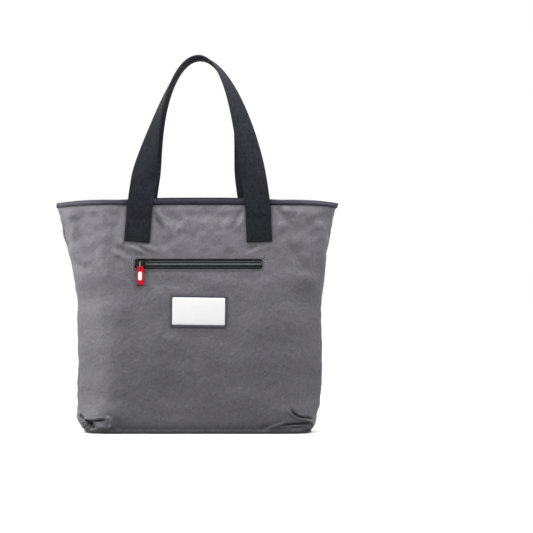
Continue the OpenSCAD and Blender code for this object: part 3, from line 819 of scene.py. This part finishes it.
RIM_LENGTH = float(run_length(body_point(columns(*RIM_STEPS, BODY_H), BODY_H, 0))[-1])
CLOTH, LINING, BINDING, WEBBING = body_cloth(), lining_cloth(), binding_tape(RIM_LENGTH), webbing()
# painted shade: the turned edge round the window is the body cloth made darker
WELT = body_cloth("welt_cloth_shaded", 16)
THREAD_DARK = thread("dark_thread", (13, 13, 16), (24, 25, 29))
THREAD_GREY = window_thread()
ZIP_TAPE = zip_tape()
# the two rows of teeth are one coil: the upper row is darker as painted shade and the lower row paler
# as painted light; the stops take the darker one, as painted shade at the window's ends
COIL_SHADED = moulded("zip_coil_shaded", (46, 47, 50), (66, 67, 71), 0.45)
COIL_LIT = moulded("zip_coil_lit", (96, 98, 102), (132, 134, 138), 0.4)
SLIDER = moulded("slider", (8, 8, 9), (15, 15, 17), 0.16, bump=0.05, Specular_IOR_Level=0.22)
WIRE = moulded("link_wire", (116, 116, 120), (150, 151, 154), 0.14, Metallic=1.0)
TAB = pull_tab_rubber()
INLAY = moulded("inlay", (236, 236, 232), (246, 246, 243), 0.4)
FRAME = moulded("label_backing", (46, 47, 56), (58, 59, 69), 0.45, bump=0.3)
FACE = moulded("label_insert", (244, 244, 244), (250, 250, 250), 0.35, bump=0.05)
BOARD = moulded("board", (186, 178, 160), (206, 198, 182), 0.85, grain=0.002, bump=0.6)


# ---- body

def cloth_rows(extra=()):
    """Heights of the rows, closer near the bottom, with exact rows where asked."""
    middle, top = 0.045, BODY_H - BINDING_T - CLOTH_GAP
    rows = np.concatenate([np.linspace(0, middle, 44), np.linspace(middle, top, 118)[1:]])
    for z in extra:
        rows[np.argmin(np.abs(rows - z))] = z
    return rows


def cloth_surface(half, us, rows, off):
    """Grid of points of one half of a cloth layer, and their flat places. off is how far
    inside the regular body the layer lies, or a function that gives it at a height."""
    u, row = np.meshgrid(us, rows)
    z = row - rim_drop(u) * smooth(DROP_FROM, BODY_H, row)
    p = body_point(u, z, off(z) if callable(off) else off)
    steps = np.linalg.norm(np.diff(p, axis=1), axis=-1)
    run = np.concatenate([np.zeros((len(rows), 1)), np.cumsum(steps, axis=1)], axis=1)
    s = run - run[:, [len(us) // 2]]
    across = np.gradient(p, axis=1)
    across[:, 0], across[:, -1] = [0, -1, 0], [0, 1, 0]
    normal = np.cross(across, np.gradient(p, axis=0))
    normal /= np.linalg.norm(normal, axis=-1, keepdims=True)
    p = p + normal * relief(p[..., 0], s, row, u, half)[..., None]
    p[..., 2] = np.maximum(p[..., 2], GROUND)
    return settle(turned(p, half)), np.stack([s, row], -1)


def cloth_half(name, half, node, material, off, thickness, hole=None, us=None, rows=None):
    """Sheet that stands for a node, cut out where hole says: width, lowest and highest row."""
    us = columns(*CLOTH_STEPS) if us is None else us
    rows = cloth_rows() if rows is None else rows
    points, uv = cloth_surface(half, us, rows, off)
    keep = None
    if hole:
        w, low, high = hole
        mid_u, mid_z = (us[1:] + us[:-1]) / 2 * FLAT_W, (rows[1:] + rows[:-1]) / 2
        keep = ~((np.abs(mid_u)[None] < w / 2) & (mid_z > low)[:, None] & (mid_z < high)[:, None])
    faces = grid_faces(len(rows), len(us), keep)
    ob = new_piece(name, points, faces, material, uv=uv, solid=thickness, closed=False)
    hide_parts(node)
    return ob


def build_body():
    up = cos(TILT)
    hole_w, hole_h = WINDOW_W + WELT_W, WINDOW_H + WELT_W
    low, high = WINDOW_Z - hole_h / 2 * up, WINDOW_Z + hole_h / 2 * up
    us = columns(*CLOTH_STEPS)
    for x in (-hole_w / 2, hole_w / 2):
        us[np.argmin(np.abs(us - x / FLAT_W))] = x / FLAT_W
    cloth_half("body_front", "front", "front_panel", CLOTH, 0, CLOTH_SKIN,
               (hole_w, low, high), us, cloth_rows((low, high)))
    cloth_half("body_back", "back", "back_panel", CLOTH, 0, CLOTH_SKIN)

    def lining_off(z):
        return PANEL_T + CLOTH_GAP + POCKET_ROOM * np.clip((TUCK_TOP - z) / (TUCK_TOP - TUCK_LOW), 0, 1)

    rows = np.linspace(PANEL_T + BOARD_T + LINING_T, BODY_H - BINDING_T - CLOTH_GAP, 90)
    for half in HALVES:
        cloth_half("lining_" + half, half, half + "_lining", LINING, lining_off,
                   LINING_SKIN, us=columns(*LINING_STEPS), rows=rows)
    base_plate("base_cloth", "base_panel", 0.0001, CLOTH_SKIN, PANEL_T + CLOTH_GAP, CLOTH)
    base_plate("base_inner_lining", "base_lining", PANEL_T + BOARD_T, BASE_SKIN,
               PANEL_T + CLOTH_GAP + POCKET_ROOM, LINING)
    finish_node("base_board", BOARD, 0.0004)
    build_pocket()


def build_pocket():
    """Two cloths that hang behind the window, seamed to the zip's tapes."""
    us = np.linspace(-POCKET_W / 2, POCKET_W / 2, 70) / FLAT_W
    foot = ZIP_Z - POCKET_H
    cloth_half("pocket_cloth_front", "front", "pocket_bag_front", LINING,
               POCKET_FRONT_IN, POCKET_SKIN, us=us,
               rows=np.linspace(foot, ZIP_Z - POCKET_FRONT_DROP, 60))

    def back_off(z):
        return lerp(POCKET_BACK_IN, POCKET_TOP_IN, smooth(ZIP_Z + 0.009, ZIP_Z + 0.014, z))

    cloth_half("pocket_cloth_back", "front", "pocket_bag_back", LINING, back_off,
               POCKET_SKIN, us=us, rows=np.linspace(foot, ZIP_Z + TAPE_W, 70))


def base_plate(name, node, z, thickness, off, material):
    """Cloth that lies flat across the base, between the front and back outlines."""
    us = columns(*BASE_STEPS)[1:-1]
    front = body_point(us, np.full_like(us, z), off)
    # t runs from the front to the back
    t = np.linspace(-1, 1, 25)[:, None]
    x = np.broadcast_to(front[None, :, 0], (len(t), len(us)))
    y = -front[None, :, 1] * t
    lift = 0.00025 * (1 + waves(x, y, 0.05, 9)) * (1 - np.abs(t) ** 6)
    # only the inner one is uneven: the lower one lies on the floor
    points = np.stack([x, y, z + thickness + lift * (z > MM)], -1)
    ob = new_piece(name, settle(points), grid_faces(len(t), len(us)), material,
                   uv=points[..., :2], solid=thickness, closed=False)
    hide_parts(node)


def finish_node(name, material, edge=0.0):
    """Carried-over solid that keeps its shape, with a finish and, where edge gives their
    width, rounded edges."""
    mesh = nodes[name].data
    mesh.materials.clear()
    mesh.materials.append(material)
    if edge:
        joined = nodes[name].modifiers.new("joined", "WELD")
        joined.merge_threshold = 1e-6
        rounding = nodes[name].modifiers.new("rounded_edges", "BEVEL")
        rounding.width, rounding.segments = edge, 3
        rounding.limit_method, rounding.angle_limit = "ANGLE", radians(40)


def build_rim():
    """Tape folded over the rim, with rounded edges and a row of stitches."""
    outer, inner = -CLOTH_GAP - BINDING_T, PANEL_T + 2 * CLOTH_GAP + LINING_T + BINDING_T
    half_t, crown, swell = (inner - outer) / 2, 0.0016, 0.0001
    arc = np.radians(np.linspace(0, 180, 9))
    profile = [(outer, -BINDING_H), (outer - swell, -BINDING_H * 0.5)]
    profile += [(outer + half_t - half_t * cos(a), crown * sin(a) - crown) for a in arc]
    profile += [(inner + swell, -BINDING_H * 0.5), (inner, -BINDING_H)]
    # the inside of the folded tape, with a slight ridge at its top
    low = -BINDING_T - 0.0005
    profile += [(inner - BINDING_T, -BINDING_H), (inner - BINDING_T, low),
                ((outer + inner) / 2, low + 0.0003), (outer + BINDING_T, low),
                (outer + BINDING_T, -BINDING_H)]
    us = columns(*RIM_STEPS, BODY_H)
    for half in HALVES:
        wave = 0.00025 * waves(us, us * 0, 0.09, 5 if half == "front" else 6)
        top = BODY_H - rim_drop(us)
        rings = np.stack([body_point(us, top + dz, off - wave) for off, dz in profile], 1)
        rings = settle(turned(rings, half))
        ob = new_piece("rim_binding_" + half, rings, sweep_faces(len(us), len(profile)), BINDING,
                       uv=sweep_uv(rings)[..., ::-1])
        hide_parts(half + "_rim_binding")
        line = body_point(us, top - BINDING_H + RIM_STITCH_UP, outer - swell)
        centres, headings = spread_along(settle(turned(line, half)), RIM_PITCH)
        out = np.cross(headings, [0, 0, 1.0])
        out /= np.linalg.norm(out, axis=1, keepdims=True)
        stitch_row("rim_stitches_" + half, centres, headings, out, THREAD_DARK)


def stitch_row(name, centres, headings, outs, material, length=0.0026, width=0.00055):
    size = (length, width, width * 0.8)
    return beads(name, centres, headings, outs, size, material)


def lay_on_front(at, way, lift, z, turn=0.0, shift=(0, 0, 0)):
    """Places, directions and outward directions of stitches that lie on the front."""
    height = np.full(len(at), lift)
    spot = place(np.column_stack([at, height]), z, turn, shift)
    ahead = place(np.column_stack([at + way * MM, height]), z, turn, shift)
    return spot, (ahead - spot) / MM, np.broadcast_to(on_front(z)[0][2], spot.shape)


# ---- handles

def leg(half, side):
    """Lean of a leg's sewn end, its place across, and how much further in the loop starts."""
    shift, more = SHIFTS.get((half, side), (0, 0))
    return LEANS.get((half, side), LEG_LEAN), LEG_GAP[half] / 2 - shift, more


def strap_frames(half, side):
    """Centres, directions across and directions out along one leg, drawn as a left leg."""
    lean, away, more = leg(half, side)
    axes, origin = on_front(FOLD_Z)
    out = float(half_d(FOLD_Z)) + 2 * CLOTH_GAP + BINDING_T + WEBBING_T / 2
    foot = np.array([-away, -out, FOLD_Z])
    centres, across, outs = [], [], []
    lean_up = sin(lean) * axes[0] + cos(lean) * axes[1]
    lean_across = cos(lean) * axes[0] - sin(lean) * axes[1]
    seat = SEAT_GAP + WEBBING_T / 2
    for down in np.linspace(SEWN_L, 0, SEWN_RINGS, endpoint=False):
        # the top of the sewn end steps out over the rim's tape
        rise = (2 * CLOTH_GAP + BINDING_T) * float(smooth(0.012, 0.0, down))
        centres.append(origin - axes[0] * away - lean_up * down + axes[2] * (seat + rise))
        across.append(lean_across)
        outs.append(axes[2])
    top_z = FOLD_Z + LOOP_H
    grip_y = -(GRIP_APART + WEBBING_W) / 2
    foot[2] += CLOTH_GAP
    # the free leg is one curve of four points, with a twist that ends edge-on at the grip
    p = np.array([foot, foot + [LEG_FOOT * tan(LEG_LEAN), 0, LEG_FOOT],
                  [-GRIP_HALF, grip_y, top_z], [0, grip_y, top_z]])
    power = TWIST_POWER * TWISTS.get((half, side), 1)
    for t in np.linspace(0, 1, LEG_RINGS):
        q = (1 - t) ** 3 * p[0] + 3 * (1 - t) ** 2 * t * p[1] + 3 * (1 - t) * t * t * p[2] + t**3 * p[3]
        d = (1 - t) ** 2 * (p[1] - p[0]) + 2 * (1 - t) * t * (p[2] - p[1]) + t * t * (p[3] - p[2])
        d = d / hypot(d[0], d[2])
        share = np.clip((t - TWIST_START) / (1 - TWIST_START), 0, 1)
        twist = radians(90 * (1 - (1 - share) ** power))
        edge = np.array([d[2] * cos(twist), -sin(twist), -d[0] * cos(twist)])
        up = q[2] - FOLD_Z
        q[0] += more * float(smooth(0, 0.03, up) * smooth(0.20, 0.06, up))
        centres.append(q)
        across.append(edge)
        outs.append(np.cross(edge, [d[0], 0, d[2]]))
    return np.array(centres), np.array(across), np.array(outs)


def webbing_section():
    """Half-round edges and flat faces, as places across and out of the webbing."""
    r = WEBBING_T / 2
    edge = np.radians(np.linspace(-90, 90, 7))
    right = [(WEBBING_W / 2 - r * 0.8 + r * 0.8 * cos(a), r * sin(a)) for a in edge]
    face = np.linspace(WEBBING_W / 2 - r * 0.8, r * 0.8 - WEBBING_W / 2, 12)[1:-1]
    top = [(x, r) for x in face]
    left = [(-x, -y) for x, y in right]
    bottom = [(-x, -r) for x in face]
    return np.array(right + top + left + bottom)


def build_handle(half):
    mirror = np.array([-1, 1, 1])
    legs = zip(strap_frames(half, -1), strap_frames(half, 1))
    centres, across, outs = (np.concatenate([left, right[-2::-1] * mirror]) for left, right in legs)
    section = webbing_section()
    rings = (centres[:, None] + section[None, :, :1] * across[:, None]
             + section[None, :, 1:] * outs[:, None])
    uv = sweep_uv(rings)
    rings = turned(rings, half)
    ob = new_piece(half + "_handle", rings, sweep_faces(len(rings), len(section)), WEBBING,
                   body=None, uv=uv)
    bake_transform(ob)
    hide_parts(half + "_handle_loop", half + "_handle_left_end", half + "_handle_right_end")


def build_stitching():
    """Boxes of stitches with a second row at the foot, on the four sewn ends."""
    w, h = WEBBING_W - 2 * BOX_INSIDE, SEWN_L - 2 * BOX_SHORT
    foot = ROW_UP - h / 2
    lines = [(rounded(w, h, 0.0008, 2), True), ([(-w / 2, foot), (w / 2, foot)], False)]
    rows = []
    for half in HALVES:
        for side in (-1, 1):
            lean, away, _ = leg(half, side)
            for line, loop in lines:
                at, way = spread_along(line, HANDLE_PITCH, loop)
                at[:, 1] -= SEWN_L / 2 + BOX_DOWN
                row = lay_on_front(at, way, WEBBING_T + 0.0001, FOLD_Z, side * lean,
                                   (side * away, 0, SEAT_GAP))
                rows.append([turned(part, half) for part in row])
    ob = stitch_row("handle_stitches", *map(np.concatenate, zip(*rows)), THREAD_DARK)
    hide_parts("handle_stitching")


# ---- zip pocket

def loft(name, rings, material, z, turn=0.0, lift=0.0, fill=False):
    """Surface over closed outlines that lie on the front, each given with its height."""
    rings = np.array([np.column_stack([line, np.full(len(line), up)]) for line, up in rings])
    faces = sweep_faces(*rings.shape[:2], caps=False)
    ob = new_piece(name, place(rings, z, turn, (0, 0, lift)), faces, material,
                   uv=rings[..., :2], closed=False)
    rework(ob.data, fill=fill)
    return ob


def build_window():
    """Turned edge of the cloth round the window, and its row of stitches."""
    # how far inside the window's edge each line of the turned cloth lies, and how high
    levels = [(-WELT_W, -0.0002), (-WELT_W, 0.0001), (-WELT_W * 0.8, 0.00035), (-WELT_W * 0.4, 0.0005),
              (-0.0006, 0.00045), (-0.0001, 0.0001), (0.0, -0.0004), (-0.0003, -0.0009),
              (-0.0010, -0.0011), (-WELT_W * 0.8, -0.0011)]
    rings = [(rounded(WINDOW_W - 2 * inset, WINDOW_H - 2 * inset, WINDOW_R - max(inset, 0), 8), up)
             for inset, up in levels]
    loft("window_edge", rings, WELT, WINDOW_Z)
    path = rounded(WINDOW_W + 2 * STITCH_OUT, WINDOW_H + 2 * STITCH_OUT, 0.005, 6)
    row = lay_on_front(*spread_along(path, WINDOW_PITCH, True), 0.0002, WINDOW_Z)
    ob = stitch_row("window_stitches", *row, THREAD_GREY, length=0.0020, width=0.0007)
    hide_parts("window_stitching")


# Section of a tape from the teeth outwards, in millimetres: a thick cord, a groove, a thin
# cord and the flat of the tape
TAPE_ACROSS = [0.6, 1.6, 3.0, 3.4, 3.9, 4.5, 5.0, 5.3, 5.6, 6.0, 6.3, 6.8, 7.3, 7.8, 8.2, 16]
TAPE_RISE = [0, 0, 0, 0.35, 0.55, 0.55, 0.35, 0, -0.1, -0.1, 0, 0.25, 0.35, 0.25, 0, 0]


def build_zip():
    """Woven tapes with a cord along each inner edge, and the teeth of the coil."""
    length, reach = WINDOW_W + 2 * TAPE_PAST, WINDOW_W / 2 - TEETH_SHORT
    x, y = np.meshgrid(np.linspace(-length / 2, length / 2, 80), np.array(TAPE_ACROSS) * MM)
    rise = np.array(TAPE_RISE)[:, None] * MM
    for side, word, coil in ((1, "upper", COIL_SHADED), (-1, "lower", COIL_LIT)):
        flat = np.stack([x, side * y, TAPE_OUT + rise + 0.00012 * waves(x, y, 0.03, 12 + side)], -1)
        tape = new_piece(f"zip_tape_{word}", place(flat, ZIP_Z), grid_faces(*x.shape)[:, ::side],
                         ZIP_TAPE, uv=flat[..., :2], solid=TAPE_T * 0.8, closed=False)
        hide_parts(f"zip_{word}_tape")
        spot = place([(at + side * 0.0003, side * (COIL_SLIT + COIL_W) / 2, TAPE_OUT + COIL_T / 2)
                      for at in np.arange(-reach, reach, TOOTH_PITCH)], ZIP_Z)
        heading, out = (np.broadcast_to(axis, spot.shape) for axis in on_front(ZIP_Z)[0][1:])
        teeth = beads(f"zip_teeth_{word}", spot, heading, out, (COIL_W + 0.0006, 0.0009, COIL_T * 0.9),
                      coil)
        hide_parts(f"zip_{word}_coil")
    for finish in (("zip_top_stops", COIL_SHADED, 0.0002), ("zip_bottom_stop", COIL_SHADED, 0.0002),
                   ("slider_body", SLIDER, 0.0004), ("slider_bridge", SLIDER), ("pull_link", WIRE),
                   ("pull_tab", TAB, 0.0003), ("pull_tab_inlay", INLAY, 0.0002)):
        finish_node(*finish)


# ---- label

def label_outline(inset, w=LABEL_W, h=LABEL_H, r=0.0018):
    return rounded(w - 2 * inset, h - 2 * inset, max(r - inset, 0.0004), 6)


def build_label():
    """Frame with a closed back, and the face that sits in it."""
    inner = LABEL_W - 2 * LABEL_SIDE, LABEL_H - 2 * LABEL_EDGE, 0.0016
    outside = [(0.0003, 0.0), (0.0, 0.0003), (0.0, LABEL_T * 0.7), (0.0003, LABEL_T * 0.93),
               (0.0008, LABEL_T)]
    inside = [(-0.0004, LABEL_T), (0.0, LABEL_T - 0.0003), (0.0, 0.0006)]
    crown = [(0.0, 0.0007), (0.0, LABEL_T + 0.00005), (0.0003, LABEL_T + 0.0002),
             (0.001, LABEL_T + 0.0003), (0.004, LABEL_T + 0.0004), (0.010, LABEL_T + 0.00045)]
    border = [(label_outline(inset), up) for inset, up in outside]
    border += [(label_outline(inset, *inner), up) for inset, up in inside]
    face = [(label_outline(inset + 0.0001, *inner), up) for inset, up in crown]
    for name, rings, material, node in (("label_frame", border, FRAME, "label_backing"),
                                        ("label_face", face, FACE, "label_insert")):
        ob = loft(name, rings, material, LABEL_Z, LABEL_TURN, SEAT_GAP, fill=True)
        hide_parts(node)


# ---- stage

# Lamps: azimuth and elevation in degrees, distance, size and power
LAMPS = [("left_soft", -74, 14, 0.60, 0.5, 4.4), ("right_soft", 60, 14, 0.75, 0.6, 1.6),
         ("right_top", 66, 42, 0.60, 0.5, 2.1), ("top_soft", 0, 66, 0.42, 0.35, 2.6),
         ("back_left", -150, 30, 0.9, 0.7, 4.2), ("back_right", 150, 30, 0.9, 0.7, 4.2)]
AIM, CAMERA_AT, LENS, FLOOR_REACH = (0, 0, 0.25), (0.1013, -3.045, 0.25), 136, 9
WORLD_LIGHT = 0.04


def build_stage():
    me = bpy.data.meshes.new("floor")
    corners = [(-1, -1), (1, -1), (1, 1), (-1, 1)]
    me.from_pydata([(x * FLOOR_REACH, y * FLOOR_REACH, 0) for x, y in corners], [], [(0, 1, 2, 3)])
    me.materials.append(floor_paint())
    add_object("floor", me)
    for name, azimuth, elevation, distance, size, power in LAMPS:
        lamp = bpy.data.lights.new(name, "AREA")
        lamp.shape, lamp.size, lamp.energy = "SQUARE", size, power
        ob = add_object(name, lamp)
        a, e = radians(azimuth), radians(elevation)
        way = Vector((sin(a) * cos(e), -cos(a) * cos(e), sin(e)))
        ob.location = Vector(AIM) + distance * way
        ob.rotation_euler = (-way).to_track_quat("-Z", "Y").to_euler()
        ob.visible_camera = False
    world = bpy.data.worlds.new("studio")
    bpy.context.scene.world = world
    world.use_nodes = True
    sky = Nodes(world.node_tree)
    path = sky.node("ShaderNodeLightPath").outputs
    seen = sky.math("ADD", path["Is Camera Ray"], path["Is Glossy Ray"])
    seen = sky.math("ADD", seen, path["Is Transmission Ray"])
    background = sky.tree.nodes["Background"].inputs
    sky.feed(background["Strength"], sky.scaled(seen, WORLD_LIGHT, 1.0))
    background["Color"].default_value = (1, 1, 1, 1)

    cam = bpy.data.cameras.new("camera")
    cam.sensor_width, cam.lens = 36, LENS
    ob = add_object("camera", cam)
    ob.location = CAMERA_AT
    ob.rotation_euler = (pi / 2, 0, 0)
    bpy.context.scene.camera = ob
    bpy.context.scene.view_settings.view_transform = "Standard"


build_body()
build_rim()
for half in HALVES:
    build_handle(half)
build_stitching()
build_window()
build_zip()
build_label()
build_stage()
